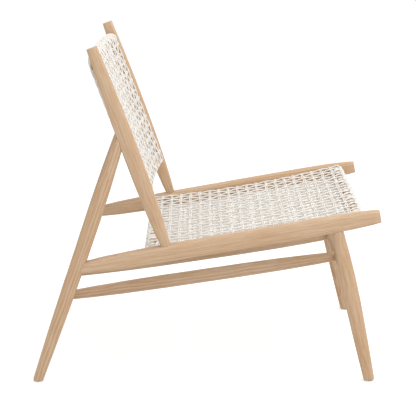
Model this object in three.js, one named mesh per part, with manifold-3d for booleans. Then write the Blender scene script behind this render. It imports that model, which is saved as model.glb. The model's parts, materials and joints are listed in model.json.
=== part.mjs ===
// A low lounge chair without arms: two raked side frames of teak, joined by stretchers and bars,
// with a seat and a back of white cord wound and woven round the bars.
// Millimetres. X runs across the chair, the front faces -Y and Z is up.
import * as THREE from 'three';
import { mergeVertices } from 'three/addons/utils/BufferGeometryUtils.js';
import Module from 'manifold-3d';

const wasm = await Module();
wasm.setup();

// Driving dimensions of the whole chair.
const frameSpacing = 590;        // from the middle of one side frame to the middle of the other
const fitGap = 0.3;              // clearance between pieces that touch
const glideHeight = 2.5;         // how far a glide lifts the foot off the floor

// Side frame, seen from the side as [y, z]. Each member is a straight line between two points.
const footFrontY = -376;         // where the front leg's middle line meets the floor
const legFrontRake = 0.222;      // how far the front leg leans back for each unit of rise
const footRearY = 386.5;         // where the rear leg's middle line meets the floor
const legRearRake = -0.35;       // the rear leg leans forward as it rises
const railFront = [-392, 387.4]; // middle of the seat rail's square-cut front end
const railRearHeight = 266;      // height of the rail's middle line at the rear leg
const postFootY = 84;            // where the back post's middle line meets the rail's
const postRake = 0.359;          // how far the back post leans back for each unit of rise
const postTopHeight = 766;       // height of the post's middle line at its top end

// Sections: depth is seen from the side, width from the front, each as [start, fullest, end].
// fullest says where along the length, and powers how late the ends fall away.
const railSection = {
  depth: [20, 38.5, 26.5], width: [25, 28, 26], fullest: 0.5, powers: [5, 8], corner: 0.2,
};
const postSection = {
  depth: [16.5, 36, 23.5], width: [22, 27, 23], fullest: 0.6, powers: [3.5, 1.25], corner: 0.28,
};
const frontLegSection = {
  depth: [24, 36, 21], width: [23, 29, 23], fullest: 0.55, powers: [1.35, 2], corner: 0.36,
};
const rearLegSection = {
  depth: [22.5, 34.6, 17], width: [22, 29, 19], fullest: 0.57, powers: [1.8, 2.1], corner: 0.36,
};
const crossSection = {
  depth: [22, 31, 22], width: [20, 26, 20], fullest: 0.5, powers: [2, 2], corner: 0.4,
};
const longSection = {
  depth: [20, 32, 20], width: [17, 24, 17], fullest: 0.5, powers: [3, 3], corner: 0.4,
};
const memberSteps = 10;          // rings of faces along a member, closer towards its ends
const bowSteps = 8;              // rings of faces along a bowed bar
const arcSteps = 6;              // half of the steps round an arc
const footDrop = 3;              // the legs are drawn this far below the floor, then cut level
const toeLength = 12;            // the foot's end is rounded over this length
const toeShrink = 0.35;          // and loses this share of its size

// Stretchers.
const frontStretcherHeight = 249;
const rearStretcherHeight = 151;
const longStretcherSpacing = 216;

// Bars that carry the woven panels, and the cord round them.
const seatBarRadius = 12;
const backBarRadius = 11;
const cordLayer = 5;             // thickness of the woven cord round a bar
const seatFrontOverhang = 48.5;  // from the rail's front end back to the front bar
const seatRearBarY = 123;
const backTopDrop = 43;          // from the post's top end down to the top bar, along the post
const backBottomRise = 118;      // from the rail up to the bottom bar, along the post
const backTopSetback = 4.5;      // the top bar lies this far behind the post's middle line
const backBottomSetback = -0.5;  // and the bottom bar, which lies a little in front of it
const backBow = 20;              // how far the back bars bow rearwards in the middle
const seatSag = 10;              // how far the seat's upper layer sags between its bars
const underSag = 3;              // and the layer underneath
const backSag = 1;               // how far the back's front layer gives between its bars
const weaveEdgeGap = 2;          // from the weave's edge to the wood beside it

// Tenons. past says how far a tenon's tip lies past the middle line of the piece it enters.
const pegSides = 12;
const tenonRoot = 8;             // every tenon starts this far inside its own piece
const legTenon = { radius: 7, past: 3 };
const postTenon = { radius: 6, past: 2 };
const braceTenon = { radius: 5.5, past: 1 };
const railTenon = { width: 11, height: 15, past: 3 };
const crossTenon = { radius: 7, past: 1 };
const longTenon = { radius: 5, past: -2 };
const seatBarTenon = { radius: 7, past: 1 };
const backBarTenon = { radius: 4.5, past: 1 };
const glideRadius = 6;
const glideTaper = 1;            // how much smaller the radius of a glide's lower face is
const glidePin = { radius: 1.3, length: 12 };

const teak = new THREE.MeshStandardMaterial({ color: 0xcfae88, roughness: 0.6, metalness: 0 });
const cord = new THREE.MeshStandardMaterial({ color: 0xece6dc, roughness: 0.9, metalness: 0 });
const glidePlastic = new THREE.MeshStandardMaterial({ color: 0x3b342e, roughness: 0.5, metalness: 0 });

// ---- Points and lines of the side frame ----

const frontLegY = (z) => footFrontY + legFrontRake * z;
const rearLegY = (z) => footRearY + legRearRake * z;
const railRear = [rearLegY(railRearHeight), railRearHeight];
const railSlope = (railFront[1] - railRear[1]) / (railFront[0] - railRear[0]);
const railZ = (y) => railFront[1] + railSlope * (y - railFront[0]);
const postFoot = [postFootY, railZ(postFootY)];
const postY = (z) => postFoot[0] + postRake * (z - postFoot[1]);
const postTop = [postY(postTopHeight), postTopHeight];

// Where two lines of the side view cross, each given as y at a height.
function crossing(yOnFirst, yOnSecond) {
  const first = yOnFirst(0) - yOnSecond(0);
  const second = yOnFirst(1000) - yOnSecond(1000);
  const z = (1000 * first) / (first - second);
  return [yOnFirst(z), z];
}
const railY = (z) => railFront[0] + (z - railFront[1]) / railSlope;
const legOnRail = crossing(frontLegY, railY);
const legOnPost = crossing(rearLegY, postY);

// The unit direction and the length of a line in the side view, and a point along it from its end.
function lineBetween(from, to) {
  const length = Math.hypot(to[0] - from[0], to[1] - from[1]);
  return { y: (to[0] - from[0]) / length, z: (to[1] - from[1]) / length, length };
}
const pointAlong = (from, line, distance) => [from[0] + distance * line.y, from[1] + distance * line.z];

const point = (x, [y, z]) => new THREE.Vector3(x, y, z);
const acrossX = new THREE.Vector3(1, 0, 0);
const upZ = new THREE.Vector3(0, 0, 1);

// ---- Solids ----

// A closed mesh as a manifold solid, placed by a matrix.
function solid(geometry, matrix = new THREE.Matrix4()) {
  const placed = geometry.clone().applyMatrix4(matrix);
  placed.deleteAttribute('normal');
  placed.deleteAttribute('uv');
  const merged = mergeVertices(placed, 1e-4);
  const triVerts = Uint32Array.from(merged.index.array);
  const vertProperties = Float32Array.from(merged.attributes.position.array);
  return new wasm.Manifold(new wasm.Mesh({ numProp: 3, vertProperties, triVerts }));
}

// The manifold solid back as a three.js mesh.
function pieceOf(body, name, material) {
  const { numProp, vertProperties, triVerts } = body.getMesh();
  const positions = [];
  for (let i = 0; i < vertProperties.length; i += numProp) {
    positions.push(vertProperties[i], vertProperties[i + 1], vertProperties[i + 2]);
  }
  const geometry = new THREE.BufferGeometry();
  geometry.setAttribute('position', new THREE.Float32BufferAttribute(positions, 3));
  geometry.setIndex(Array.from(triVerts));
  geometry.computeVertexNormals();
  const mesh = new THREE.Mesh(geometry, material);
  mesh.name = name;
  return mesh;
}

// Turns local Z to point from start to end, with local X along the width.
function along(start, end, widthDirection) {
  const forward = end.clone().sub(start).normalize();
  const side = widthDirection.clone().normalize();
  const depth = forward.clone().cross(side);
  return new THREE.Matrix4().makeBasis(side, depth, forward).setPosition(start);
}

// A rectangle two units across with rounded corners, for sections that are scaled later.
function roundedSquare(corner) {
  const radius = 2 * corner;
  const inner = 1 - radius;
  const outline = new THREE.Shape();
  outline.moveTo(inner, -1);
  outline.absarc(inner, -inner, radius, -Math.PI / 2, 0, false);
  outline.absarc(inner, inner, radius, 0, Math.PI / 2, false);
  outline.absarc(-inner, inner, radius, Math.PI / 2, Math.PI, false);
  outline.absarc(-inner, -inner, radius, Math.PI, 1.5 * Math.PI, false);
  return outline;
}

// Size at a share of the length: swells to the middle value and falls away to both ends.
function swell([start, full, end], { fullest, powers }, share) {
  if (share < fullest) return full - (full - start) * ((fullest - share) / fullest) ** powers[0];
  return full - (full - end) * ((share - fullest) / (1 - fullest)) ** powers[1];
}

// A member from start to end. grow makes it larger all round, and toe rounds off its start.
function member(start, end, section, { grow = 0, toe = false, side = acrossX } = {}) {
  const length = start.distanceTo(end);
  const plainStart = toe ? toeLength : 0;
  const stations = toe ? [0, toeLength * 0.25, toeLength * 0.6] : [];
  for (let i = 0; i <= memberSteps; i += 1) {
    const share = (1 - Math.cos((Math.PI * i) / memberSteps)) / 2;
    stations.push(plainStart + (length - plainStart) * share);
  }
  const steps = stations.length - 1;
  const geometry = new THREE.ExtrudeGeometry(roundedSquare(section.corner), {
    depth: steps, steps, bevelEnabled: false, curveSegments: 2,
  });
  const position = geometry.attributes.position;
  for (let i = 0; i < position.count; i += 1) {
    const z = stations[Math.round(position.getZ(i))];
    const toToe = toe ? Math.max(0, 1 - z / toeLength) : 0;
    const rounding = 1 - toeShrink * toToe * toToe;
    const width = swell(section.width, section, z / length) * rounding + 2 * grow;
    const depth = swell(section.depth, section, z / length) * rounding + 2 * grow;
    position.setXYZ(i, (position.getX(i) * width) / 2, (position.getY(i) * depth) / 2, z);
  }
  return solid(geometry, along(start, end, side));
}

// A round tenon or pin from one point to another. grow turns it into its mortise.
function roundTenon(start, end, radius, grow = 0) {
  const length = start.distanceTo(end) + grow;
  const geometry = new THREE.CylinderGeometry(radius + grow, radius + grow, length, pegSides);
  geometry.rotateX(Math.PI / 2).translate(0, 0, length / 2);
  const runsAcross = Math.abs(end.x - start.x) > Math.abs(end.z - start.z);
  return solid(geometry, along(start, end, runsAcross ? upZ : acrossX));
}

// A tenon of rectangular section from one point to another.
function flatTenon(start, end, { width, height }, grow = 0) {
  const length = start.distanceTo(end) + grow;
  const geometry = new THREE.BoxGeometry(width + 2 * grow, height + 2 * grow, length);
  geometry.translate(0, 0, length / 2);
  return solid(geometry, along(start, end, acrossX));
}

// The two ends of a tenon, which runs in its own member's direction. shoulder is the distance
// from the middle line of the piece it enters to its surface, where the tenon comes out.
function tenonEnds(middle, direction, shoulder, past) {
  const unit = direction.clone().normalize();
  const start = middle.clone().addScaledVector(unit, -shoulder - tenonRoot);
  const end = middle.clone().addScaledVector(unit, past);
  return [start, end];
}

// ---- The side frames ----

const railLine = lineBetween(railRear, railFront);
const postLine = lineBetween(postFoot, postTop);
const seatFrontBar = pointAlong(railFront, railLine, -seatFrontOverhang);
const seatRearBar = [seatRearBarY, railZ(seatRearBarY)];
// A place beside the post: rise along it from the rail, set back behind its middle line.
const besidePost = (rise, setback) => [
  postFoot[0] + rise * postLine.y + setback * postLine.z,
  postFoot[1] + rise * postLine.z - setback * postLine.y,
];
const backTopBar = besidePost(postLine.length - backTopDrop, backTopSetback);
const backBottomBar = besidePost(backBottomRise, backBottomSetback);
const frontStretcher = [frontLegY(frontStretcherHeight), frontStretcherHeight];
const rearStretcher = [rearLegY(rearStretcherHeight), rearStretcherHeight];
const legDrop = -footDrop;

const chair = new THREE.Group();
const add = (body, name, material) => chair.add(pieceOf(body, name, material));

// Everything below a foot's level end.
function belowFoot(x, y) {
  const size = 200;
  const block = new THREE.BoxGeometry(size, size, size);
  block.translate(x, y, glideHeight - size / 2);
  return solid(block);
}

// A glide: a plastic button under the foot, with a pin up into the leg.
function glide(x, y, grow = 0) {
  const thickness = glideHeight - fitGap;
  const pin = roundTenon(
    point(x, [y, thickness / 2]), point(x, [y, thickness + glidePin.length]), glidePin.radius, grow,
  );
  if (grow > 0) return pin;
  const button = new THREE.CylinderGeometry(
    glideRadius, glideRadius - glideTaper, thickness, pegSides,
  );
  button.rotateX(Math.PI / 2).translate(x, y, thickness / 2);
  return solid(button).add(pin);
}

for (const [side, name] of [[-1, 'right'], [1, 'left']]) {
  const x = (side * frameSpacing) / 2;
  const inner = new THREE.Vector3(-side, 0, 0);
  const railDirection = new THREE.Vector3(0, railLine.y, railLine.z);
  const postDirection = new THREE.Vector3(0, postLine.y, postLine.z);
  const frontLegDirection = new THREE.Vector3(0, legFrontRake, 1);
  const rearLegDirection = new THREE.Vector3(0, legRearRake, 1);

  // The plain members. grow is the clearance that a neighbour is cut back by.
  const rail = (grow) => member(point(x, railRear), point(x, railFront), railSection, { grow });
  const post = (grow) => member(point(x, postFoot), point(x, postTop), postSection, { grow });
  const frontLeg = () => member(
    point(x, [frontLegY(legDrop), legDrop]), point(x, legOnRail), frontLegSection, { toe: true },
  );
  const rearLeg = (grow) => member(
    point(x, [rearLegY(legDrop), legDrop]), point(x, legOnPost), rearLegSection, { toe: true, grow },
  );

  // The tenons of the side frame.
  const halfRail = railSection.depth[1] / 2;
  const halfPost = postSection.depth[1] / 2;
  const halfLeg = rearLegSection.depth[1] / 2;
  const braceShoulder = halfPost / Math.sin(rearLegDirection.angleTo(postDirection));
  const legTenonAt = (grow) => roundTenon(
    ...tenonEnds(point(x, legOnRail), frontLegDirection, halfRail, legTenon.past), legTenon.radius, grow,
  );
  const postTenonAt = (grow) => roundTenon(
    ...tenonEnds(point(x, postFoot), postDirection.clone().negate(), halfRail, postTenon.past),
    postTenon.radius, grow,
  );
  const braceTenonAt = (grow) => roundTenon(
    ...tenonEnds(point(x, legOnPost), rearLegDirection, braceShoulder, braceTenon.past),
    braceTenon.radius, grow,
  );
  const railTenonAt = (grow) => flatTenon(
    ...tenonEnds(point(x, railRear), railDirection.clone().negate(), halfLeg, railTenon.past),
    railTenon, grow,
  );
  // Tenons that come in from the middle of the chair.
  const sideTenonAt = (centre, width, size, grow) => roundTenon(
    ...tenonEnds(point(x, centre), inner.clone().negate(), width / 2, size.past), size.radius, grow,
  );

  let body = rail(0).subtract(rearLeg(fitGap)).add(railTenonAt(0));
  body = body.subtract(legTenonAt(fitGap)).subtract(postTenonAt(fitGap));
  for (const centre of [seatFrontBar, seatRearBar]) {
    body = body.subtract(sideTenonAt(centre, railSection.width[1], seatBarTenon, fitGap));
  }
  add(body, `seat_rail_${name}`, teak);

  body = post(0).subtract(rail(fitGap)).add(postTenonAt(0)).subtract(braceTenonAt(fitGap));
  for (const centre of [backTopBar, backBottomBar]) {
    body = body.subtract(sideTenonAt(centre, postSection.width[1], backBarTenon, fitGap));
  }
  add(body, `back_post_${name}`, teak);

  const frontFootY = frontLegY(glideHeight);
  body = frontLeg().subtract(rail(fitGap)).subtract(belowFoot(x, frontFootY)).add(legTenonAt(0));
  body = body.subtract(sideTenonAt(frontStretcher, frontLegSection.width[1], crossTenon, fitGap));
  add(body.subtract(glide(x, frontFootY, fitGap)), `front_leg_${name}`, teak);
  add(glide(x, frontFootY), `front_glide_${name}`, glidePlastic);

  const rearFootY = rearLegY(glideHeight);
  body = rearLeg(0).subtract(post(fitGap)).subtract(belowFoot(x, rearFootY)).add(braceTenonAt(0));
  body = body.subtract(railTenonAt(fitGap));
  body = body.subtract(sideTenonAt(rearStretcher, rearLegSection.width[1], crossTenon, fitGap));
  add(body.subtract(glide(x, rearFootY, fitGap)), `rear_leg_${name}`, teak);
  add(glide(x, rearFootY), `rear_glide_${name}`, glidePlastic);
}

// ---- Stretchers ----

const frontLegLine = { start: [frontLegY(legDrop), legDrop], end: legOnRail, section: frontLegSection };
const rearLegLine = { start: [rearLegY(legDrop), legDrop], end: legOnPost, section: rearLegSection };

// A stretcher from side to side, fitted to the legs' inner faces.
function crossStretcher(centre, leg) {
  const half = frameSpacing / 2;
  let body = member(point(-half, centre), point(half, centre), crossSection, { side: upZ });
  for (const side of [-1, 1]) {
    const x = side * half;
    const ends = [point(x, leg.start), point(x, leg.end)];
    const outward = new THREE.Vector3(side, 0, 0);
    const tenon = tenonEnds(point(x, centre), outward, leg.section.width[1] / 2, crossTenon.past);
    body = body.subtract(member(...ends, leg.section, { grow: fitGap, toe: true }));
    body = body.add(roundTenon(...tenon, crossTenon.radius));
  }
  return body;
}

// The same stretcher without its ends fitted, as what the long stretchers are cut back by.
const crossEnvelope = (centre) => member(
  point(-frameSpacing / 2, centre), point(frameSpacing / 2, centre), crossSection,
  { grow: fitGap, side: upZ },
);
const longDirection = point(0, frontStretcher).sub(point(0, rearStretcher));
const longTenonAt = (x, centre, sense, grow) => roundTenon(
  ...tenonEnds(point(x, centre), longDirection.clone().multiplyScalar(sense),
    crossSection.depth[1] / 2, longTenon.past),
  longTenon.radius, grow,
);
const longPlaces = [[-longStretcherSpacing / 2, 'right'], [longStretcherSpacing / 2, 'left']];

let frontCross = crossStretcher(frontStretcher, frontLegLine);
let rearCross = crossStretcher(rearStretcher, rearLegLine);
for (const [x, name] of longPlaces) {
  frontCross = frontCross.subtract(longTenonAt(x, frontStretcher, 1, fitGap));
  rearCross = rearCross.subtract(longTenonAt(x, rearStretcher, -1, fitGap));
  let body = member(point(x, rearStretcher), point(x, frontStretcher), longSection);
  body = body.subtract(crossEnvelope(rearStretcher)).subtract(crossEnvelope(frontStretcher));
  body = body.add(longTenonAt(x, frontStretcher, 1, 0)).add(longTenonAt(x, rearStretcher, -1, 0));
  add(body, `long_stretcher_${name}`, teak);
}
add(frontCross, 'front_cross_stretcher', teak);
add(rearCross, 'rear_cross_stretcher', teak);

// ---- Bars and the woven panels round them ----

// How far the inner face of a side member lies from the chair's middle, at a share of its length.
const innerFace = (section, share) => (frameSpacing - swell(section.width, section, share)) / 2;
const bowSpan = innerFace(postSection, postSection.fullest);

// Pushes a shape that runs along X rearwards: most in the middle, and not at all at the posts.
function bowed(geometry, bow) {
  const position = geometry.attributes.position;
  for (let i = 0; i < position.count; i += 1) {
    const share = position.getX(i) / bowSpan;
    const push = bow * (1 - share * share);
    position.setY(i, position.getY(i) + push * postLine.z);
    position.setZ(i, position.getZ(i) - push * postLine.y);
  }
  return geometry;
}

// A round bar between the side frames, with a tenon at each end.
function crossBar(centre, radius, tenon, halfLength, bow) {
  const disc = new THREE.Shape();
  disc.absarc(0, 0, radius, 0, 2 * Math.PI, false);
  const geometry = new THREE.ExtrudeGeometry(disc, {
    depth: 2 * halfLength, steps: bow > 0 ? bowSteps : 1, bevelEnabled: false, curveSegments: arcSteps,
  });
  geometry.applyMatrix4(along(point(-halfLength, centre), point(halfLength, centre), upZ));
  let body = solid(bowed(geometry, bow));
  for (const side of [-1, 1]) {
    const start = point(side * (halfLength - tenonRoot), centre);
    const end = point(side * (frameSpacing / 2 + tenon.past), centre);
    body = body.add(roundTenon(start, end, tenon.radius));
  }
  return body;
}

// A belt of cord round two bars, with a layer on each side of them. Both layers sag the same way.
function belt(first, second, barRadius, halfWidth, [outerSag, innerSag], bow) {
  const run = lineBetween(first, second);
  const outline = (radius) => {
    const path = new THREE.Shape();
    path.moveTo(0, radius);
    path.quadraticCurveTo(run.length / 2, radius - 2 * outerSag, run.length, radius);
    path.absarc(run.length, 0, radius, Math.PI / 2, -Math.PI / 2, true);
    path.quadraticCurveTo(run.length / 2, -radius - 2 * innerSag, 0, -radius);
    path.absarc(0, 0, radius, -Math.PI / 2, -1.5 * Math.PI, true);
    // Neighbouring curves share their end points, and each is kept once. The outline runs
    // anticlockwise, as a shape with a hole has to.
    const corners = path.getPoints(arcSteps).reverse();
    return new THREE.Shape(corners.filter((corner, i) => corner.distanceTo(corners.at(i - 1)) > 1e-6));
  };
  const shape = outline(barRadius + fitGap + cordLayer);
  shape.holes.push(outline(barRadius + fitGap));
  const geometry = new THREE.ExtrudeGeometry(shape, {
    depth: 2 * halfWidth, steps: bow > 0 ? bowSteps : 1, bevelEnabled: false, curveSegments: arcSteps,
  });
  geometry.translate(0, 0, -halfWidth);
  // Local X runs from the first bar to the second, and local Y to the side one sits on.
  const runX = new THREE.Vector3(0, run.y, run.z);
  const faceY = acrossX.clone().cross(runX);
  geometry.applyMatrix4(new THREE.Matrix4().makeBasis(runX, faceY, acrossX).setPosition(point(0, first)));
  return solid(bowed(geometry, bow));
}

const seatBarEnd = innerFace(railSection, railSection.fullest) - fitGap;
const backBarEnd = bowSpan - fitGap;
add(crossBar(seatFrontBar, seatBarRadius, seatBarTenon, seatBarEnd, 0), 'seat_front_bar', teak);
add(crossBar(seatRearBar, seatBarRadius, seatBarTenon, seatBarEnd, 0), 'seat_rear_bar', teak);
add(crossBar(backTopBar, backBarRadius, backBarTenon, backBarEnd, backBow), 'back_top_bar', teak);
add(crossBar(backBottomBar, backBarRadius, backBarTenon, backBarEnd, backBow), 'back_bottom_bar', teak);

const seatHalfWidth = seatBarEnd + fitGap - weaveEdgeGap;
const backHalfWidth = bowSpan - weaveEdgeGap;
const seatBelt = belt(seatFrontBar, seatRearBar, seatBarRadius, seatHalfWidth, [seatSag, underSag], 0);
const backBelt = belt(backBottomBar, backTopBar, backBarRadius, backHalfWidth, [backSag, 0], backBow);
add(seatBelt, 'seat_weave', cord);
add(backBelt, 'back_weave', cord);

// The origin is on the floor, under the middle of the chair's box.
const box = new THREE.Box3().setFromObject(chair);
chair.position.set(0, -(box.min.y + box.max.y) / 2, 0);

export default chair;
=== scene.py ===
# %% [markdown]
# # A low lounge chair of teak and white cord
#
# Two raked side frames of teak carry a seat and a back that are woven from bleached paper cord.
# The chair's structure comes in as a finished model, one mesh for each piece. This lesson gives
# it its looks: sanded and oiled wood, cord that is really wound and woven, small plastic glides,
# and a plain pale studio. Everything is in metres. The chair faces -Y and +Z is up.

import json
import math
import random

import bmesh
import bpy
import numpy as np
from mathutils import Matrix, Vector


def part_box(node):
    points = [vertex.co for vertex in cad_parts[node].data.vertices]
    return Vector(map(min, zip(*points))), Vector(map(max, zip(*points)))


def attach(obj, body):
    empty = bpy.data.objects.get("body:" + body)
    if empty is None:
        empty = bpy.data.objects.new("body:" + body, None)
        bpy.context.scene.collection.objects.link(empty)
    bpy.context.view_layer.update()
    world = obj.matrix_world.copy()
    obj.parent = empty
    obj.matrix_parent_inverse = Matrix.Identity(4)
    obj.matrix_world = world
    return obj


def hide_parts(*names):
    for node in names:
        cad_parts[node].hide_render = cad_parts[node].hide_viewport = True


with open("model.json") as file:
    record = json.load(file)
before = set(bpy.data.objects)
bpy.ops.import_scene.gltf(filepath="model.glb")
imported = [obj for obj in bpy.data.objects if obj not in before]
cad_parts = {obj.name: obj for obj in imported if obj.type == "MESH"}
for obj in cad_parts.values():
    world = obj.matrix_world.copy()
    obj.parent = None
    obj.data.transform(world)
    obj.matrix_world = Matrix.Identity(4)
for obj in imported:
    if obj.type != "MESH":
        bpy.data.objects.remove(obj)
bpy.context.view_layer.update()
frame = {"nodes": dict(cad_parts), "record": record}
MM = 0.001
CHAIR = "root"                  # the chair is rigid, so every piece rides on this one body
print("pieces in the frame:", len(frame["nodes"]))

# %% [markdown]
# ## The camera
#
# The chair is seen straight from its right side and a little from above, with a long lens a few
# metres away. A long lens keeps the two side frames nearly the same size, as in a catalogue. The
# camera could be turned by hand, but a place and a point to look at say the same thing in two
# short lines. The lamps are aimed in the same way later on.

# %% Set the camera
CAMERA_PLACE = Vector((-3.6459, 0.0152, 1.1422))
LOOK_AT = Vector((0.0, -0.0074, 0.3493))
LENS_MM = 132.37
SENSOR_MM = 36.0
NEAREST = 0.1                   # nothing nearer to the lens than this is drawn


def in_scene(name, data):
    """A new object at the origin that shows this mesh, lamp or camera."""
    thing = bpy.data.objects.new(name, data)
    bpy.context.scene.collection.objects.link(thing)
    return thing


def aim(thing, place, target):
    """Puts a camera or a lamp at a place and turns it to face a point."""
    thing.location = place
    thing.rotation_euler = (Vector(target) - Vector(place)).to_track_quat("-Z", "Y").to_euler()


camera = in_scene("camera", bpy.data.cameras.new("camera"))
aim(camera, CAMERA_PLACE, LOOK_AT)
camera.data.lens = LENS_MM
camera.data.sensor_width = SENSOR_MM
camera.data.clip_start = NEAREST
bpy.context.scene.camera = camera
print("camera is", round((LOOK_AT - CAMERA_PLACE).length, 2), "m from the chair")

# %% [markdown]
# ## Two small helpers for materials
#
# Colours are picked as the sRGB hex values that a paint chart gives, but the renderer mixes
# light in linear values, so one function turns one into the other. A second one adds a node,
# sets it up and links it, and all the trees below are made with it. Nodes could be placed by
# hand in the editor instead, but a script can be read from top to bottom.

# %% Helpers for colours and nodes
def linear(hex_colour):
    """The linear RGBA of an sRGB colour such as "#c8a27c"."""
    values = [int(hex_colour[i:i + 2], 16) / 255 for i in (1, 3, 5)]
    return [v / 12.92 if v <= 0.04045 else ((v + 0.055) / 1.055) ** 2.4 for v in values] + [1.0]


def add_node(tree, kind, settings=None, inputs=None):
    """Adds a node. inputs gives each socket, by its name or place, a value or a socket to link."""
    node = tree.nodes.new(kind)
    for name, value in (settings or {}).items():
        setattr(node, name, value)
    for socket, value in (inputs or {}).items():
        if isinstance(value, bpy.types.NodeSocket):
            tree.links.new(value, node.inputs[socket])
        else:
            node.inputs[socket].default_value = value
    return node


def new_material(name):
    """An empty material, its node tree and its output node."""
    material = bpy.data.materials.new(name)
    material.use_nodes = True
    material.node_tree.nodes.clear()
    output = add_node(material.node_tree, "ShaderNodeOutputMaterial")
    return material, material.node_tree, output


print("mid grey #808080 is", round(linear("#808080")[0], 3), "in linear light")

# %% [markdown]
# ## Floor, backdrop and light
#
# The studio is a white sweep: a pale floor that runs on into a white background. The floor is
# a little brighter for the camera than its own colour makes it, through the Light Path node, so
# that it goes over into the white of the world with no horizon and still keeps the chair's
# shadow. No lamp has to be turned up for that.
#
# The light is that of a big softbox overhead, a weaker one beside the camera, and an even
# white room. Soft light shows pale cord best: each strand gets a gentle edge and nothing clips.

# %% Make the white room
ROOM_LIGHT = 0.79               # how strongly the room lights the chair, where 1 is white
WHITE = linear("#ffffff")


def seen_directly(tree):
    """One where the camera, a mirror or a glass sees the surface, and zero elsewhere."""
    path = add_node(tree, "ShaderNodeLightPath")
    mirror = add_node(tree, "ShaderNodeMath", {"operation": "MAXIMUM"},
                      {0: path.outputs["Is Camera Ray"], 1: path.outputs["Is Glossy Ray"]})
    glass = add_node(tree, "ShaderNodeMath", {"operation": "MAXIMUM"},
                     {0: mirror.outputs[0], 1: path.outputs["Is Transmission Ray"]})
    return glass.outputs[0]


world = bpy.data.worlds.new("white room")
bpy.context.scene.world = world
world.use_nodes = True
room = world.node_tree
room.nodes.clear()
strength = add_node(room, "ShaderNodeMapRange", None,
                    {"Value": seen_directly(room), "To Min": ROOM_LIGHT, "To Max": 1.0})
background = add_node(room, "ShaderNodeBackground", None,
                      {"Color": WHITE, "Strength": strength.outputs[0]})
add_node(room, "ShaderNodeOutputWorld", None, {"Surface": background.outputs[0]})
bpy.context.scene.view_settings.view_transform = "Standard"
print("room light", ROOM_LIGHT)

# %% Lay the floor
FLOOR_LIFT = 0.50               # how much brighter the camera sees the floor than its paint
FLOOR_HALF = 6.0                # from the middle of the floor to its edge

floor_paint, tree, output = new_material("matt_white_studio_floor")
paint = add_node(tree, "ShaderNodeBsdfDiffuse", None, {"Color": linear("#dedede")})
lift = add_node(tree, "ShaderNodeMath", {"operation": "MULTIPLY"},
                {0: seen_directly(tree), 1: FLOOR_LIFT})
glow = add_node(tree, "ShaderNodeEmission", None,
                {"Color": WHITE, "Strength": lift.outputs[0]})
both = add_node(tree, "ShaderNodeAddShader", None, {0: paint.outputs[0], 1: glow.outputs[0]})
tree.links.new(both.outputs[0], output.inputs["Surface"])

corners = [(-FLOOR_HALF, -FLOOR_HALF, 0), (FLOOR_HALF, -FLOOR_HALF, 0),
           (FLOOR_HALF, FLOOR_HALF, 0), (-FLOOR_HALF, FLOOR_HALF, 0)]
floor_mesh = bpy.data.meshes.new("floor")
floor_mesh.from_pydata(corners, [], [(0, 1, 2, 3)])
floor_mesh.materials.append(floor_paint)
floor = in_scene("floor", floor_mesh)
print("floor", 2 * FLOOR_HALF, "m square")

# %% Hang the softboxes
SEAT_LEVEL = (0, 0, 0.4)        # both lamps face the middle of the seat


def softbox(name, place, size, watts):
    """A square area lamp that faces the seat."""
    lamp = bpy.data.lights.new(name, "AREA")
    lamp.size = size
    lamp.energy = watts
    aim(in_scene(name, lamp), place, SEAT_LEVEL)
    print(name, size, "m,", watts, "W")


softbox("overhead softbox", place=(-0.6, -1.2, 3.2), size=2.2, watts=41)
softbox("side softbox", place=(-3.4, -1.8, 1.9), size=1.6, watts=23)

# %% [markdown]
# ## Teak
#
# The frame is plantation teak, planed, shaped and sanded, then rubbed with a clear oil. It is
# a straight-grained, pale honey-brown wood with a dry, matt surface. To the eye that means three
# things at three sizes: growth rings a few millimetres apart that run along each member as
# soft stripes, fine fibre streaks, and short dark pores.
#
# Stripes could be laid straight through the room, but then they would cut across every member
# that leans. A real member is sawn out of a log, so its rings are cylinders round a pith
# somewhere beside it. The material draws just that: every member carries an attribute called
# grain, which gives a point's place in the log, along the grain and across it. Stripes on the
# long faces and arcs on the end grain then come from one rule.

# %% Start the teak
teak, tree, output = new_material("teak_sanded_and_oiled")
grain = add_node(tree, "ShaderNodeAttribute", {"attribute_name": "grain"})
in_mm = add_node(tree, "ShaderNodeVectorMath", {"operation": "SCALE"},
                 {0: grain.outputs["Vector"], "Scale": 1 / MM})


def grain_noise(along_mm, across_mm, detail, roughness=0.5):
    """Noise whose spots are this long and this wide, in millimetres."""
    squeezed = add_node(tree, "ShaderNodeVectorMath", {"operation": "MULTIPLY"},
                        {0: in_mm.outputs[0], 1: (1 / along_mm, 1 / across_mm, 1 / across_mm)})
    noise = add_node(tree, "ShaderNodeTexNoise", None,
                     {"Vector": squeezed.outputs[0], "Scale": 1.0, "Detail": detail,
                      "Roughness": roughness})
    return noise.outputs[0]


print("teak reads its place in the log from", grain.attribute_name)

# %% Draw the rings and fibres
RING_MM = 3.2                   # width of one year's growth
RING_BEND_MM = 4.5              # how far the rings wander to either side
BEND_MM = (130, 20)             # length and width of one such bend
FIBRE_MM = (48.0, 1.1)          # a fibre streak's length and width, coarser than life so it shows
FIBRE_SHARE = 0.62              # how much of a stripe's tone the fibres give, against the rings

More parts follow.
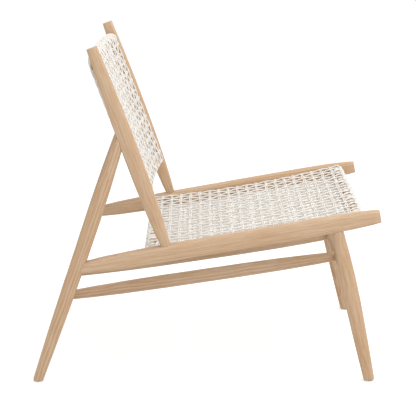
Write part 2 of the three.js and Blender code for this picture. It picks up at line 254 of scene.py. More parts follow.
# The distance from the pith, bent a little along the way, picks the ring.
across = add_node(tree, "ShaderNodeVectorMath", {"operation": "MULTIPLY"},
                  {0: in_mm.outputs[0], 1: (0, 1, 1)})
radius = add_node(tree, "ShaderNodeVectorMath", {"operation": "LENGTH"}, {0: across.outputs[0]})
bend = add_node(tree, "ShaderNodeMapRange", None,
                {"Value": grain_noise(*BEND_MM, detail=2), "To Min": -RING_BEND_MM,
                 "To Max": RING_BEND_MM})
bent = add_node(tree, "ShaderNodeMath", {"operation": "ADD"},
                {0: radius.outputs["Value"], 1: bend.outputs[0]})
year = add_node(tree, "ShaderNodeMath", {"operation": "DIVIDE"}, {0: bent.outputs[0], 1: RING_MM})
rings = add_node(tree, "ShaderNodeTexNoise", {"noise_dimensions": "1D"},
                 {"W": year.outputs[0], "Scale": 1.0, "Detail": 1.5, "Roughness": 0.6})
fibres = grain_noise(*FIBRE_MM, detail=3, roughness=0.6)
stripes = add_node(tree, "ShaderNodeMix", {"data_type": "FLOAT"},
                   {0: FIBRE_SHARE, 2: rings.outputs[0], 3: fibres})
# The noise seldom leaves the middle third of its range, so the three tones share that third.
tone = add_node(tree, "ShaderNodeValToRGB", None, {0: stripes.outputs[0]})
ramp = tone.color_ramp
ramp.elements[0].position, ramp.elements[0].color = 0.34, linear("#bf9b79")
ramp.elements[1].position, ramp.elements[1].color = 0.66, linear("#ddc5ac")
ramp.elements.new(0.5).color = linear("#d0b191")
print("rings", RING_MM, "mm wide, fibres", FIBRE_MM, "mm")

# %% Add the pores and the slow drift of tone
PORE_MM = (9.0, 0.45)           # a pore's length and width along the grain
PORE_DARKNESS = 0.45            # how much of its own colour a pore shows
DRIFT_MM = (160, 45)            # length and width of one drift of tone

# Only the highest spots of the noise are pores.
pores = add_node(tree, "ShaderNodeMapRange", None,
                 {"Value": grain_noise(*PORE_MM, detail=1), "From Min": 0.66, "From Max": 0.74})
pore_share = add_node(tree, "ShaderNodeMath", {"operation": "MULTIPLY"},
                      {0: pores.outputs[0], 1: PORE_DARKNESS})
with_pores = add_node(tree, "ShaderNodeMix", {"data_type": "RGBA"},
                      {0: pore_share.outputs[0], 6: tone.outputs[0], 7: linear("#96714f")})
# A board is paler on its sapwood side than on its heart side.
drift = add_node(tree, "ShaderNodeMapRange", None,
                 {"Value": grain_noise(*DRIFT_MM, detail=1), "From Min": 0.3, "From Max": 0.7})
tint = add_node(tree, "ShaderNodeMix", {"data_type": "RGBA"},
                {0: drift.outputs[0], 6: linear("#f8f2ea"), 7: WHITE})
drifted = add_node(tree, "ShaderNodeMix", {"data_type": "RGBA", "blend_type": "MULTIPLY"},
                   {0: 1.0, 6: with_pores.outputs[2], 7: tint.outputs[2]})
print("pores", PORE_MM, "mm")

# %% Put the teak together
# Pale streaks come out a little smoother than dark ones, and pores are small pits.
gloss = add_node(tree, "ShaderNodeMapRange", None,
                 {"Value": stripes.outputs[0], "To Min": 0.68, "To Max": 0.52})
relief = add_node(tree, "ShaderNodeMath", {"operation": "SUBTRACT"},
                  {0: fibres, 1: pore_share.outputs[0]})
bump = add_node(tree, "ShaderNodeBump", None,
                {"Height": relief.outputs[0], "Strength": 0.35, "Distance": 0.15 * MM})
wood = add_node(tree, "ShaderNodeBsdfPrincipled", None,
                {"Base Color": drifted.outputs[2], "Roughness": gloss.outputs[0],
                 "Normal": bump.outputs[0], "IOR": 1.45, "Specular IOR Level": 0.35})
tree.links.new(wood.outputs[0], output.inputs["Surface"])
print("teak has", len(tree.nodes), "nodes")

# %% [markdown]
# ## Wooden members
#
# The frame's members already have their tapers, copes and tenons, so each is copied rather
# than modelled again. The copy is merged into one closed skin, flat faces are joined back into
# whole ones, and the crisp edges where a face was sawn get a small rounded arris, as sandpaper
# leaves it. Long faces are shaded smooth so that the taper reads as one curve.
#
# The grain attribute is the last thing: the member's own longest direction becomes the way
# along the grain, and a seeded random shift puts every member in another part of the log.

# %% Helpers that finish a piece
def plain_mesh(rough, name):
    """A new object with what the modifiers of a rough one make. The rough one goes."""
    bpy.context.view_layer.update()
    evaluated = rough.evaluated_get(bpy.context.evaluated_depsgraph_get())
    mesh = bpy.data.meshes.new_from_object(evaluated)
    mesh.name = name
    bpy.data.objects.remove(rough)
    return in_scene(name, mesh)


def put_on_chair(piece, slot, *nodes):
    """The piece rides on the chair and stands for these nodes, which are hidden. slot is not used.
    """
    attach(piece, CHAIR)
    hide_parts(*nodes)


def smooth_object(shape, name):
    """An object with the smooth-shaded mesh of a bmesh, which is then done with."""
    for face in shape.faces:
        face.smooth = True
    mesh = bpy.data.meshes.new(name)
    shape.to_mesh(mesh)
    shape.free()
    return in_scene(name, mesh)


print("every piece will ride on", CHAIR)

# %% Round the sawn edges
ARRIS_MM = 0.8                  # width of the rounding that sandpaper leaves
SHARP_ANGLE = math.radians(32)  # edges sharper than this were sawn
SAME_POINT = 0.005 * MM         # corners this near each other are one
FLAT_ANGLE = math.radians(0.4)  # faces that meet at less than this are one


def with_arris(node, name):
    """A merged copy of a wooden node, with its sawn edges rounded."""
    shape = bmesh.new()
    shape.from_mesh(frame["nodes"][node].data)
    bmesh.ops.remove_doubles(shape, verts=shape.verts, dist=SAME_POINT)
    bmesh.ops.dissolve_limit(shape, angle_limit=FLAT_ANGLE, verts=shape.verts, edges=shape.edges)
    rough = smooth_object(shape, name)
    arris = rough.modifiers.new("arris", "BEVEL")
    arris.width = ARRIS_MM * MM
    arris.segments = 2
    arris.limit_method = "ANGLE"
    arris.angle_limit = SHARP_ANGLE
    return plain_mesh(rough, name)


print("edges over", round(math.degrees(SHARP_ANGLE)), "degrees are rounded by", ARRIS_MM, "mm")

# %% Lay the grain and finish the members
# Where a member may lie in its log: along it, out from the pith, and to the side.
LOG_PLACES = [(-2.0, 2.0), (0.035, 0.08), (-0.03, 0.03)]
log_places = random.Random(7)


def lay_grain(mesh):
    """Gives every vertex its place in the log: along the grain first, then across it."""
    places = np.array([v.co for v in mesh.vertices])
    centred = places - places.mean(0)
    _, axes = np.linalg.eigh(np.cov(centred.T))
    along_and_across = centred @ axes[:, ::-1]
    shift = [log_places.uniform(least, most) for least, most in LOG_PLACES]
    attribute = mesh.attributes.new("grain", "FLOAT_VECTOR", "POINT")
    attribute.data.foreach_set("vector", (along_and_across + shift).ravel())


wooden = [part["node"] for part in frame["record"]["subparts"] if part["material_slot"] == "teak"]
for node in sorted(wooden):
    member = with_arris(node, "finished_" + node)
    lay_grain(member.data)
    member.data.materials.clear()
    member.data.materials.append(teak)
    member.data.set_sharp_from_angle(angle=SHARP_ANGLE)
    put_on_chair(member, "teak", node)
print("finished", len(wooden), "wooden members")

# %% [markdown]
# ## Glides
#
# Under each foot sits a small button of dark moulded nylon with a pin up into the leg. Nylon
# comes out of its mould with a dull skin and a faint mottle. The button is a round shape, so one
# outline is spun round the pin's middle line. A cylinder with a bevel would do as well, but the
# outline rounds the rim by itself, and at this size a real moulding has no sharp edge.

# %% Make the nylon
MOTTLE_MM = 1 / 0.9             # size of the faint mottle that the mould leaves

nylon, tree, output = new_material("moulded_nylon")
mottle = add_node(tree, "ShaderNodeTexNoise", None,
                  {"Vector": add_node(tree, "ShaderNodeTexCoord").outputs["Object"],
                   "Scale": 1 / (MOTTLE_MM * MM), "Detail": 2.0})
skin = add_node(tree, "ShaderNodeMapRange", None,
                {"Value": mottle.outputs[0], "To Min": 0.42, "To Max": 0.58})
dimple = add_node(tree, "ShaderNodeBump", None,
                  {"Height": mottle.outputs[0], "Strength": 0.2, "Distance": 0.05 * MM})
plastic = add_node(tree, "ShaderNodeBsdfPrincipled", None,
                   {"Base Color": linear("#3b342e"), "Roughness": skin.outputs[0], "IOR": 1.53,
                    "Normal": dimple.outputs[0]})
tree.links.new(plastic.outputs[0], output.inputs["Surface"])
print("nylon with a mottle of", round(MOTTLE_MM, 1), "mm")

# %% Turn the glides
# The outline from the middle of the underside to the tip of the pin: radius and height.
GLIDE_OUTLINE_MM = [(0, 0), (4.6, 0), (5.0, 0.15), (5.6, 0.9), (5.95, 1.7), (5.9, 2.05), (5.6, 2.2),
                    (1.3, 2.2), (1.3, 13.6), (1.1, 13.9), (0, 14.0)]
GLIDE_SIDES = 32
GLIDE_EDGE = math.radians(50)   # edges sharper than this stay crisp


def turned(name, outline_mm, x, y):
    """A closed shape spun round the upright line through x, y."""
    shape = bmesh.new()
    corners = [shape.verts.new((x + r * MM, y, z * MM)) for r, z in outline_mm]
    lines = [shape.edges.new(pair) for pair in zip(corners, corners[1:])]
    bmesh.ops.spin(shape, geom=corners + lines, cent=(x, y, 0), axis=(0, 0, 1),
                   angle=2 * math.pi, steps=GLIDE_SIDES, use_merge=True)
    bmesh.ops.remove_doubles(shape, verts=shape.verts, dist=SAME_POINT)
    bmesh.ops.recalc_face_normals(shape, faces=shape.faces)
    return smooth_object(shape, name)


for node in sorted(n for n in frame["nodes"] if "glide" in n):
    low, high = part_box(node)
    glide = turned("turned_" + node, GLIDE_OUTLINE_MM, (low.x + high.x) / 2, (low.y + high.y) / 2)
    glide.data.materials.append(nylon)
    glide.data.set_sharp_from_angle(angle=GLIDE_EDGE)
    put_on_chair(glide, "glide_plastic", node)
    print("turned a glide for", node)

# %% [markdown]
# ## Paper cord
#
# The white cord is made of three plies of bleached kraft paper, each rolled tight and then
# twisted together. It is matt and nearly white, with small changes of tone from one length to
# the next. The hollows between the plies are given a slightly warm painted shade.
#
# The twist is drawn by the material from an attribute called lay: two values say where a point
# lies round the cord and the third how far along it. Three plies give three grooves, which
# wander once round the cord for every twist. The grooves are a fraction of a millimetre deep,
# so they are relief and shade here, while every strand of the weave is real geometry.

# %% Twist the plies
CORD_MM = 2.8
CORD = CORD_MM * MM
TWIST_MM = 9.0                  # length of cord in which a ply goes once round
PLIES = 3

paper, tree, output = new_material("bleached_paper_cord")
lay = add_node(tree, "ShaderNodeAttribute", {"attribute_name": "lay"})
parts = add_node(tree, "ShaderNodeSeparateXYZ", None, {0: lay.outputs["Vector"]})
angle = add_node(tree, "ShaderNodeMath", {"operation": "ARCTAN2"},
                 {0: parts.outputs["Y"], 1: parts.outputs["X"]})
travel = add_node(tree, "ShaderNodeMath", {"operation": "MULTIPLY"},
                  {0: parts.outputs["Z"], 1: 2 * math.pi / (TWIST_MM * MM)})
turn = add_node(tree, "ShaderNodeMath", {"operation": "ADD"},
                {0: angle.outputs[0], 1: travel.outputs[0]})
phase = add_node(tree, "ShaderNodeMath", {"operation": "MULTIPLY"},
                 {0: turn.outputs[0], 1: PLIES})
wave = add_node(tree, "ShaderNodeMath", {"operation": "SINE"}, {0: phase.outputs[0]})
ply = add_node(tree, "ShaderNodeMapRange", {"interpolation_type": "SMOOTHSTEP"},
               {"Value": wave.outputs[0], "From Min": -1.0, "From Max": -0.1})
print("cord:", CORD_MM, "mm,", PLIES, "plies")

# %% Bleach and crumple the paper
BATCH_MM = 1000 / 45            # length over which the tone of the paper changes
CRUMPLE_MM = 1 / 1.4            # size of the crumples in the rolled paper
CRUMPLE_SHARE = 0.18            # their height beside the depth of a groove

place = add_node(tree, "ShaderNodeTexCoord").outputs["Object"]
batch = add_node(tree, "ShaderNodeTexNoise", None,
                 {"Vector": place, "Scale": 1 / (BATCH_MM * MM), "Detail": 2.0})
crumple = add_node(tree, "ShaderNodeTexNoise", None,
                   {"Vector": place, "Scale": 1 / (CRUMPLE_MM * MM), "Detail": 2.0})
shade = add_node(tree, "ShaderNodeValToRGB", None, {0: batch.outputs[0]})
ramp = shade.color_ramp
ramp.elements[0].position, ramp.elements[0].color = 0.36, linear("#f5f1eb")
ramp.elements[1].position, ramp.elements[1].color = 0.62, linear("#fdfbf8")
# Painted shade: the hollows between the plies get a darker, warmer colour than the paper.
groove = add_node(tree, "ShaderNodeMix", {"data_type": "RGBA"},
                  {0: ply.outputs[0], 6: linear("#e6dfd4"), 7: shade.outputs[0]})
height = add_node(tree, "ShaderNodeMath", {"operation": "MULTIPLY_ADD"},
                  {0: crumple.outputs[0], 1: CRUMPLE_SHARE, 2: ply.outputs[0]})
relief = add_node(tree, "ShaderNodeBump", None,
                  {"Height": height.outputs[0], "Strength": 0.7, "Distance": 0.3 * MM})
cord = add_node(tree, "ShaderNodeBsdfPrincipled", None,
                {"Base Color": groove.outputs[2], "Roughness": 0.85, "IOR": 1.47,
                 "Specular IOR Level": 0.25, "Normal": relief.outputs[0]})
tree.links.new(cord.outputs[0], output.inputs["Surface"])
print("paper has", len(tree.nodes), "nodes")

# %% [markdown]
# ## How a path becomes cord
#
# Every strand is a path with a round section, and there are hundreds of them, so this is a job
# for Geometry Nodes. One small group turns any curve into cord and stores the lay attribute.
# Two trees use it: one for strands that follow a path of their own, and one for the turns that
# wind a bar, where a single ring is repeated at every point of a line.

# %% Helpers for Geometry Nodes
def new_tree(name, sockets):
    """A Geometry Nodes group with these inputs after its geometry: (name, type, value)."""
    group = bpy.data.node_groups.new(name, "GeometryNodeTree")
    group.interface.new_socket("Geometry", in_out="INPUT", socket_type="NodeSocketGeometry")
    for label, kind, value in sockets:
        socket = group.interface.new_socket(label, in_out="INPUT", socket_type=kind)
        if value is not None:
            socket.default_value = value
    group.interface.new_socket("Geometry", in_out="OUTPUT", socket_type="NodeSocketGeometry")
    return group, add_node(group, "NodeGroupInput"), add_node(group, "NodeGroupOutput")


def finish_tree(group, geometry, given, result):
    """Ends a tree: instances become real meshes and get their material."""
    real = add_node(group, "GeometryNodeRealizeInstances", None, {0: geometry})
    painted = add_node(group, "GeometryNodeSetMaterial", None,
                       {0: real.outputs[0], "Material": given.outputs["Material"]})
    group.links.new(painted.outputs[0], result.inputs[0])


print("new_tree starts a tree and finish_tree ends it")

# %% Build the cord group
CORD_SIZES = [("Cord Diameter", "NodeSocketFloat", CORD), ("Sides", "NodeSocketInt", 8)]
cord_group, given, result = new_tree("Cord from curve", CORD_SIZES)
half = add_node(cord_group, "ShaderNodeMath", {"operation": "MULTIPLY"},
                {0: given.outputs["Cord Diameter"], 1: 0.5})
section = add_node(cord_group, "GeometryNodeCurvePrimitiveCircle", None,
                   {"Resolution": given.outputs["Sides"], "Radius": half.outputs[0]})
spline = add_node(cord_group, "GeometryNodeSplineParameter")
round_it = add_node(cord_group, "GeometryNodeCaptureAttribute", None,
                    {0: section.outputs["Curve"]})
round_it.capture_items.new("FLOAT", "round")
cord_group.links.new(spline.outputs["Factor"], round_it.inputs[1])
along_it = add_node(cord_group, "GeometryNodeCaptureAttribute", None,
                    {0: given.outputs["Geometry"]})
along_it.capture_items.new("FLOAT", "along")
cord_group.links.new(spline.outputs["Length"], along_it.inputs[1])
tube = add_node(cord_group, "GeometryNodeCurveToMesh", None,
                {0: along_it.outputs[0], 1: round_it.outputs[0], "Fill Caps": True})
turns = add_node(cord_group, "ShaderNodeMath", {"operation": "MULTIPLY"},
                 {0: round_it.outputs[1], 1: 2 * math.pi})
cosine = add_node(cord_group, "ShaderNodeMath", {"operation": "COSINE"}, {0: turns.outputs[0]})
sine = add_node(cord_group, "ShaderNodeMath", {"operation": "SINE"}, {0: turns.outputs[0]})
lay_value = add_node(cord_group, "ShaderNodeCombineXYZ", None,
                     {0: cosine.outputs[0], 1: sine.outputs[0], 2: along_it.outputs[1]})
stored = add_node(cord_group, "GeometryNodeStoreNamedAttribute",
                  {"data_type": "FLOAT_VECTOR", "domain": "POINT"},
                  {0: tube.outputs[0], "Name": "lay", "Value": lay_value.outputs[0]})
smooth = add_node(cord_group, "GeometryNodeSetShadeSmooth", None, {0: stored.outputs[0]})
cord_group.links.new(smooth.outputs[0], result.inputs[0])
print(cord_group.name, "has", len(cord_group.nodes), "nodes")

# %% Build the two trees that use it
MATERIAL = [("Material", "NodeSocketMaterial", None)]
strand_tree, given, result = new_tree("Strands along paths", CORD_SIZES + MATERIAL)
path = add_node(strand_tree, "GeometryNodeMeshToCurve", None, {0: given.outputs["Geometry"]})
strand = add_node(strand_tree, "GeometryNodeGroup", {"node_tree": cord_group},
                  {0: path.outputs[0], 1: given.outputs["Cord Diameter"],
                   2: given.outputs["Sides"]})
finish_tree(strand_tree, strand.outputs[0], given, result)

TURN_SIZES = CORD_SIZES + [
    ("Ring Radius", "NodeSocketFloat", 0.015), ("Ring Points", "NodeSocketInt", 16),
    ("Unevenness", "NodeSocketFloat", 0.02), ("Seed", "NodeSocketInt", 3)]
turn_tree, given, result = new_tree("Turns round a bar", TURN_SIZES + MATERIAL)
line = add_node(turn_tree, "GeometryNodeMeshToCurve", None, {0: given.outputs["Geometry"]})
spots = add_node(turn_tree, "GeometryNodeCurveToPoints", {"mode": "EVALUATED"},
                 {0: line.outputs[0]})
ring = add_node(turn_tree, "GeometryNodeCurvePrimitiveCircle", None,
                {"Resolution": given.outputs["Ring Points"],
                 "Radius": given.outputs["Ring Radius"]})
loop = add_node(turn_tree, "GeometryNodeGroup", {"node_tree": cord_group},
                {0: ring.outputs[0], 1: given.outputs["Cord Diameter"],
                 2: given.outputs["Sides"]})
most = add_node(turn_tree, "ShaderNodeMath", {"operation": "ADD"},
                {0: 1.0, 1: given.outputs["Unevenness"]})
uneven = add_node(turn_tree, "FunctionNodeRandomValue", {"data_type": "FLOAT"},
                  {2: 1.0, 3: most.outputs[0], "Seed": given.outputs["Seed"]})
wound = add_node(turn_tree, "GeometryNodeInstanceOnPoints", None,
                 {"Points": spots.outputs[0], "Instance": loop.outputs[0],
                  "Rotation": spots.outputs["Rotation"], "Scale": uneven.outputs[1]})
finish_tree(turn_tree, wound.outputs[0], given, result)
print("trees:", strand_tree.name, "and", turn_tree.name)

# %% A helper that runs a tree
def made_by(group, name, points, runs, values):
    """A plain mesh made by a tree from lines. A run is (first point, number of points, closed)."""
    lines = []
    for first, count, closed in runs:
        lines += [(first + i, first + i + 1) for i in range(count - 1)]
        if closed:
            lines.append((first + count - 1, first))
    mesh = bpy.data.meshes.new(name)
    mesh.from_pydata([tuple(p) for p in points], lines, [])
    rough = in_scene(name, mesh)
    maker = rough.modifiers.new("maker", "NODES")
    maker.node_group = group
    identifiers = {item.name: item.identifier for item in group.interface.items_tree
                   if item.in_out == "INPUT"}
    for label, value in values.items():
        maker[identifiers[label]] = value
    piece = plain_mesh(rough, name)
    print(name, "has", sum(len(f.vertices) - 2 for f in piece.data.polygons), "triangles")
    return piece


inputs = [item.name for item in turn_tree.interface.items_tree if item.in_out == "INPUT"]
print("inputs of a wound bar:", inputs[1:])

# %% [markdown]
# ## The belt that a woven panel follows
#
# Seat and back are woven the same way, each round two bars: the lengthwise cords go over the
# first bar, along to the second, round it and back underneath, so the panel has two layers.
# That closed way round is the belt. A point on it is given by three numbers: how far round the
# belt, how far to the side, and how far it is lifted off the belt's own surface.
#
# The bars say where the belt is, so it is measured from them. The back's bars bow rearwards in
# the middle, and the same measure gives the bow.

# %% Measure the bars
END_SLICE = 0.5 * MM            # what lies this near a bar's tip is its end face
MIDDLE_SHARE = 0.1              # and the middle is this share of its half length


def bar_line(node):
    """The bar's centre at its end and how far its middle is bowed away from there."""
    places = np.array([v.co for v in frame["nodes"][node].data.vertices])
    reach = places[:, 0].max()
    end = places[places[:, 0] > reach - END_SLICE][:, 1:]
    centre = (end.min(0) + end.max(0)) / 2
    middle = places[np.abs(places[:, 0]) < MIDDLE_SHARE * reach][:, 1:]
    bow = np.zeros(2) if len(middle) == 0 else (middle.min(0) + middle.max(0)) / 2 - centre
    return centre, bow


for node in ("seat_front_bar", "back_top_bar"):
    print(node, "is bowed by", np.round(bar_line(node)[1] / MM, 1), "mm")

# %% Lay out the belts
BAR_GAP = 0.3 * MM              # from a bar to the cord round it
POST_GAP = 2 * MM               # from the weave's edge to the wood beside it
EDGE_MARGIN = 2.6 * CORD        # from the weave's edge in to the outermost warp pair


class Belt:
    """The way round two bars, and the warp pairs that are wound along it.

    sags are those of the layer one sits on and of the one underneath, and looseness says how far
    the cords stray from their places.
    """

    def __init__(self, weave_node, first_bar, second_bar, bar_radius, sags, warp_pairs, looseness):
        self.start, self.bow = bar_line(first_bar)
        end, _ = bar_line(second_bar)
        self.length = float(np.linalg.norm(end - self.start))
        self.run = (end - self.start) / self.length
        self.out = np.array([-self.run[1], self.run[0]])
        self.bar_radius = bar_radius
        self.radius = bar_radius + BAR_GAP + CORD
        self.arc = math.pi * self.radius
        self.around = 2 * (self.length + self.arc)
        self.sags = sags
        self.looseness = looseness
        self.half_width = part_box(weave_node)[1].x
        self.bow_span = self.half_width + POST_GAP
        outermost = self.half_width - EDGE_MARGIN
        self.warps = np.linspace(-outermost, outermost, warp_pairs)

    def place(self, travel, side, lift):
        """Points in the chair's frame. travel goes round the belt, side across it, lift off it."""
        travel, side, lift = np.broadcast_arrays(travel, side, lift)
        travel = travel % self.around
        upper, lower = self.sags
        # The way has four parts: the layer one sits on, the bend round the second bar, the layer
        # underneath and the bend round the first bar.
        share = np.clip(travel / self.length, 0, 1)
        back_share = np.clip((travel - self.length - self.arc) / self.length, 0, 1)
        on_far_arc = (travel > self.length) & (travel < self.length + self.arc)
        underneath = (travel >= self.length + self.arc) & (travel < 2 * self.length + self.arc)
        on_near_arc = travel >= 2 * self.length + self.arc
        along = share * self.length
        height = self.radius + lift - 4 * upper * share * (1 - share)
        angle = np.where(on_far_arc, (travel - self.length) / self.radius,
                         math.pi + (travel - 2 * self.length - self.arc) / self.radius)
        curved = on_far_arc | on_near_arc
        centre = np.where(on_far_arc, self.length, 0.0)
        along = np.where(curved, centre + (self.radius + lift) * np.sin(angle), along)
        height = np.where(curved, (self.radius + lift) * np.cos(angle), height)
        along = np.where(underneath, (1 - back_share) * self.length, along)
        height = np.where(underneath,
                          -self.radius - lift - 4 * lower * back_share * (1 - back_share), height)
        return self.point(along, side, height)

    def point(self, along, side, height):
        """The same from a place between the bars, to the side, and above the bars' middle lines."""
        bowed = 1 - (side / self.bow_span) ** 2
        flat = (self.start + along[..., None] * self.run + height[..., None] * self.out
                + bowed[..., None] * self.bow)
        return np.concatenate([side[..., None], flat], -1)


seat = Belt("seat_weave", "seat_front_bar", "seat_rear_bar", bar_radius=12 * MM,
            sags=(10 * MM, 3 * MM), warp_pairs=20, looseness=1.0)
back = Belt("back_weave", "back_bottom_bar", "back_top_bar", bar_radius=11 * MM,
            sags=(1 * MM, 0.0), warp_pairs=24, looseness=1.6)
for name, belt in (("seat", seat), ("back", back)):
    print(name, "belt: bars", round(belt.length / MM), "mm apart,", len(belt.warps), "warp pairs")

# %% [markdown]
# ## Weaving
#
# The panels are woven in pairs of cord. The lengthwise pairs, the warp, are wound on tight
# first. The crosswise pairs, the weft, then go over one warp pair and under the next, turn at
# the edge and come back beside themselves, and step on to the next row. Open holes stay in
# between in the layer one sits on. Over the bars the rows are beaten up close, which gives each
# panel its firm, rounded edges. Underneath, more lengthwise pairs lie between the warp pairs, so
# that layer is closer, and behind most holes of the upper one there is cord instead of floor.
#
# Cloth could be painted on a sheet, but then the holes would be flat. Here one wave rule places
# every strand: where two pairs cross, the weft goes up by more than half a cord and the tight
# warp down by the rest, and the next crossing along either way is the other way up. The total
# number of rows is even, so the wave also closes where the belt meets itself.

# %% Rows and waves
ROW = 24.6 * MM                 # from one weft row to the next
EDGE_ROWS = 4                   # rows beaten up close over each bar
EDGE_START = 8 * MM             # how far past the top of the bar they start
PAIR = 1.04 * CORD              # from one cord of a pair to the other
FLAT_TOPS = 0.75                # below one, the crests of the wave are flatter than a sine's


def crest(place):
    """A wave that is +1 and -1 at whole places in turn, with rather flat tops."""
    wave = np.cos(math.pi * place)
    return np.sign(wave) * np.abs(wave) ** FLAT_TOPS


def rows_of(belt):
    """Where the weft rows lie, going round the belt."""
    count = int((belt.length - ROW) / ROW) + 1
    first = (belt.length - (count - 1) * ROW) / 2
    layer = np.linspace(first, belt.length - first, count)
    edge = EDGE_START + 2 * PAIR * np.arange(EDGE_ROWS)
    return np.concatenate([layer, belt.length + edge, belt.length + belt.arc + layer,
                           (belt.around - edge)[::-1]])


def is_under(belt, row):
    """Whether a row, by its number round the belt, lies in the layer underneath."""
    half_way = len(rows_of(belt)) / 2
    return (row > half_way - 0.5) & (row < 2 * half_way - EDGE_ROWS - 0.5)


print("rows round the seat:", len(rows_of(seat)), "and round the back:", len(rows_of(back)))

# %% [markdown]
# ## The maker's hand
#
# Hand work is never quite even. Random jumps would kink the cord, so each strand is pushed
# aside by a few slow waves added up, each with a seeded start. The seat is pulled tight and the
# back is looser. A strand that closes on itself has to end where it began, so its drift fades
# out at the ends.

# %% Let the strands wander
HAND_STEP = 5 * MM              # from one point of a lengthwise cord to the next, or nearly so
HOLD_POWER = 0.3                # the lower, the sooner the drift has its full size
hand = np.random.default_rng(11)


def wandering(count, spacing, amount, wavelengths):
    """A slow, small, seeded sideways drift at count places along a strand."""
    where = np.arange(count) * spacing
    drift = sum(np.sin(2 * math.pi * (where / w + hand.random())) for w in wavelengths)
    return amount * drift / len(wavelengths)


def held_at_ends(count):
    """A share for each place along a strand: none at its start, and soon nearly all."""
    return np.sin(math.pi * np.arange(count) / count) ** HOLD_POWER


print("hold a fifth of the way along:", round(float(held_at_ends(5)[1]), 2))

# %% [markdown]
# ## Warp and fillers
#
# A warp pair is wound right round both bars, so its two cords are closed rings along the belt.
# A filler pair runs only underneath, and is a single cord: it goes along to the first bar, takes
# a whole turn round it, comes back beside itself and takes a turn round the second. It could
# simply end at the bars, but cut ends would show and on the real chair they would slip out. Both
# kinds ride the same wave, which is read at the places where the weft rows lie.

# %% Wind the warp
STEPS = 5                       # points along a cord from one crossing to the next
BEND_STEPS = 20                 # and along half a turn round a bar
WARP_LIFT = 0.38 * CORD         # the warp is tight, so most of the lift is the weft's
WARP_DRIFT = (2.6 * MM, (0.21, 0.13, 0.067))    # how far a pair drifts, and in what waves
WARP_PARTING = (2.0 * MM, (0.11, 0.05))         # and how far its two cords part
OUTERMOST_STRAY = 0.3           # the outermost pairs keep nearly straight


def wave_at(belt, travel):
    """How high the warp rides at places round the belt, and whether they are underneath."""
    rows = rows_of(belt)
    # The belt is closed, so the last row also lies before the first, and the first after the last.
    marks = np.concatenate([[rows[-1] - belt.around], rows, [rows[0] + belt.around]])
    row = np.interp(travel, marks, np.arange(-1, len(rows) + 1))
    return crest(row), is_under(belt, row)


def warp_of(belt):
    """Points and runs of the lengthwise cords that are wound round both bars."""
    flat = np.arange(0, belt.length, ROW / STEPS)
    bend = np.linspace(0, belt.arc, BEND_STEPS + 1)[:-1]
    half_round = np.concatenate([flat, belt.length + bend])
    travel = np.concatenate([half_round, half_round + belt.around / 2])
    wave, under = wave_at(belt, travel)
    hold = held_at_ends(len(travel))
    points, runs = [], []
    for k, centre in enumerate(belt.warps):
        sign = np.where(under, 1, 1 if k % 2 == 0 else -1)
        stray = belt.looseness * (OUTERMOST_STRAY if k in (0, len(belt.warps) - 1) else 1)
        drift = stray * wandering(len(travel), HAND_STEP, *WARP_DRIFT)
        for way in (-1, 1):
            apart = stray * np.abs(wandering(len(travel), HAND_STEP, *WARP_PARTING))
            across = centre + way * PAIR / 2 + hold * (drift + way * apart)
            runs.append((len(points), len(travel), True))
            points += list(belt.place(travel, across, sign * WARP_LIFT * wave))
    return points, runs


print("the warp rises", round(WARP_LIFT / MM, 2), "mm at a crossing")

# %% Wind the fillers
FILLER_DRIFT = (2.1 * MM, (0.21, 0.13))


def ring_radius(belt):
    """From a bar's middle line to the middle of a cord wound straight on to it."""
    return belt.bar_radius + BAR_GAP + CORD / 2


def fillers_of(belt):
    """Points and runs of the cords that run underneath only, with a turn round each bar."""
    there = belt.length + belt.arc + np.arange(ROW / STEPS, belt.length, ROW / STEPS)
    wave, _ = wave_at(belt, there)
    turn = np.linspace(0, 2 * math.pi, 2 * BEND_STEPS + 1)
    round_bar = ring_radius(belt)
    across_turn = PAIR * (turn / (2 * math.pi) - 0.5)
    points, runs = [], []
    for centre in (belt.warps[1:] + belt.warps[:-1]) / 2:
        drift = held_at_ends(len(there)) * wandering(len(there), HAND_STEP, *FILLER_DRIFT)
        first = len(points)
        for beside, at, angle in ((-1, 0.0, math.pi + turn), (1, belt.length, math.pi - turn)):
            leg = belt.place(there, centre + beside * PAIR / 2 + drift, -WARP_LIFT * wave)
            points += list(leg if beside < 0 else leg[::-1])
            points += list(belt.point(at + round_bar * np.sin(angle), centre - beside * across_turn,
                                      round_bar * np.cos(angle)))
        runs.append((first, len(points) - first, True))
    return points, runs


print("fillers turn", round(ring_radius(seat) / MM, 1), "mm from the seat bars' middle lines")

# %% [markdown]
# ## Weft
#
# The weft of a whole layer is one long cord, as the weaver works it with a shuttle: across in
# the wave, round the outermost warp pair, back beside itself, and on to the next row. It could
# be drawn as one short row and repeated, but then no row would stray in its own way and the
# turns at the edges would be missing. Underneath it meets warp and filler pairs in turn, so it
# crosses twice as many. The rows over the bars are beaten up close and have no room to stray.

# %% Weave the weft
WEFT_LIFT = 0.54 * CORD
WEFT_DRIFT = (1.9 * MM, (0.31, 0.12, 0.07))
WEFT_PARTING = (2.2 * MM, (0.18, 0.09, 0.04))
CLOSE_STRAY = 0.12              # what is left of its straying where the rows are close
LOOP_POINTS = 3                 # points on the turn at a row's end
STEP_SHARES = np.linspace(0.2, 0.8, 4)  # points on the way to the next row


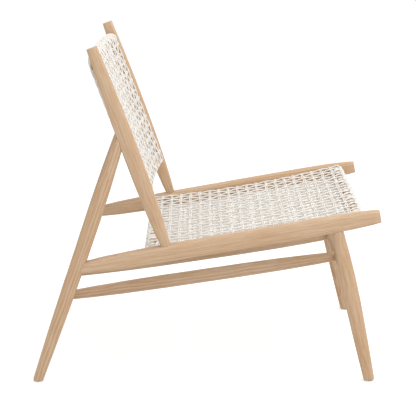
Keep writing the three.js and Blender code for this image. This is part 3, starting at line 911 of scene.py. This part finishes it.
def weft_of(belt, first_row, last_row):
    """Points and run of the one long cord that weaves these rows of a panel."""
    rows, reach = rows_of(belt), belt.warps[-1] + PAIR / 2 + CORD
    corner = np.linspace(-math.pi / 2, math.pi / 2, LOOP_POINTS + 2)[1:-1]
    travel, across, lift = [], [], []
    for k in range(first_row, last_row):
        row, sign = rows[k], (-1 if k % 2 == 0 else 1)
        crossings = (len(belt.warps) - 1) * (2 if is_under(belt, k) else 1)
        side = np.linspace(belt.warps[0], belt.warps[-1], crossings * STEPS + 1)
        side = np.concatenate([[-reach], side, [reach]])
        wave = crest(np.linspace(0, crossings, crossings * STEPS + 1))
        wave = np.concatenate([[0], wave, [0]])
        close = min(abs(row - rows[k - 1]), abs(rows[(k + 1) % len(rows)] - row)) < ROW / 2
        stray = CLOSE_STRAY if close else belt.looseness
        spacing = 2 * reach / len(side)
        drift = stray * wandering(len(side), spacing, *WEFT_DRIFT)
        apart = stray * np.abs(wandering(len(side), spacing, *WEFT_PARTING))
        there, again = row + drift - PAIR / 2, row + drift + PAIR / 2 + apart
        # Across, round the outermost pair and back, and then on to the next row.
        travel += [there, (there[-1] + again[-1] + np.sin(corner) * PAIR) / 2, again[::-1]]
        across += [side, reach + np.cos(corner) * PAIR / 2, side[::-1]]
        lift += [sign * WEFT_LIFT * wave, np.zeros(len(corner)), sign * WEFT_LIFT * wave[::-1]]
        if k + 1 < last_row:
            travel += [again[0] + STEP_SHARES * (rows[k + 1] - row - PAIR)]
            across += [-reach - np.sin(math.pi * STEP_SHARES) * CORD / 2]
            lift += [np.zeros(len(STEP_SHARES))]
    travel, across, lift = map(np.concatenate, (travel, across, lift))
    return belt.place(travel, across, lift), [(0, len(travel), False)]


print("the weft rises", round(WEFT_LIFT / MM, 2), "mm at a crossing")

# %% [markdown]
# ## Turns round the bars
#
# Under the warp the weaver winds plain turns of cord round the bar here and there, which bed the
# pairs and cover the wood. All turns are the same ring, so the second tree repeats one along a
# line, each a little larger than the bar needs. Their groups come from slow waves like those of
# the strands: a turn is kept where the waves stand high.

# %% Wind the bars
TURN_PITCH = 1.02 * CORD        # from one turn to the next
GROUP_WAVES = (0.083, 0.037, 0.021)
GROUP_LEVEL = 0.4               # turns are kept where the waves stand above this


def turns_of(belt, at_second):
    """The places of the turns that wind a bar under the weave, in close groups with gaps."""
    sides = np.arange(-belt.half_width + CORD, belt.half_width - CORD, TURN_PITCH)
    sides = sides[wandering(len(sides), CORD, 1.0, GROUP_WAVES) > GROUP_LEVEL]
    travel = belt.length + belt.arc / 2 if at_second else 2 * belt.length + 1.5 * belt.arc
    return belt.place(travel, sides, -belt.radius), [(0, len(sides), False)]


print("turns lie", round(TURN_PITCH / MM, 2), "mm apart")

# %% Make both panels
ROUND_CORD = {"Cord Diameter": CORD, "Sides": 8, "Material": paper}
PLAIN_CORD = dict(ROUND_CORD, Sides=6)  # for cord that the weft mostly covers

for name, belt in (("seat", seat), ("back", back)):
    node = name + "_weave"
    pieces = []
    for part, points_and_runs in (("warp", warp_of(belt)), ("fillers", fillers_of(belt))):
        pieces.append(made_by(strand_tree, f"{name}_{part}", *points_and_runs, PLAIN_CORD))
    total, half_way = len(rows_of(belt)), len(rows_of(belt)) // 2
    for part, first_row, last_row in (("face", 0, half_way), ("rear", half_way, total)):
        weft = weft_of(belt, first_row, last_row)
        pieces.append(made_by(strand_tree, f"{name}_weft_{part}", *weft, ROUND_CORD))
    ring_sizes = {**PLAIN_CORD, "Ring Radius": ring_radius(belt)}
    for bar, at_second in (("first", False), ("second", True)):
        turns = turns_of(belt, at_second)
        pieces.append(made_by(turn_tree, f"{name}_{bar}_bar_turns", *turns, ring_sizes))
    for piece in pieces:
        put_on_chair(piece, "woven_cord", node)
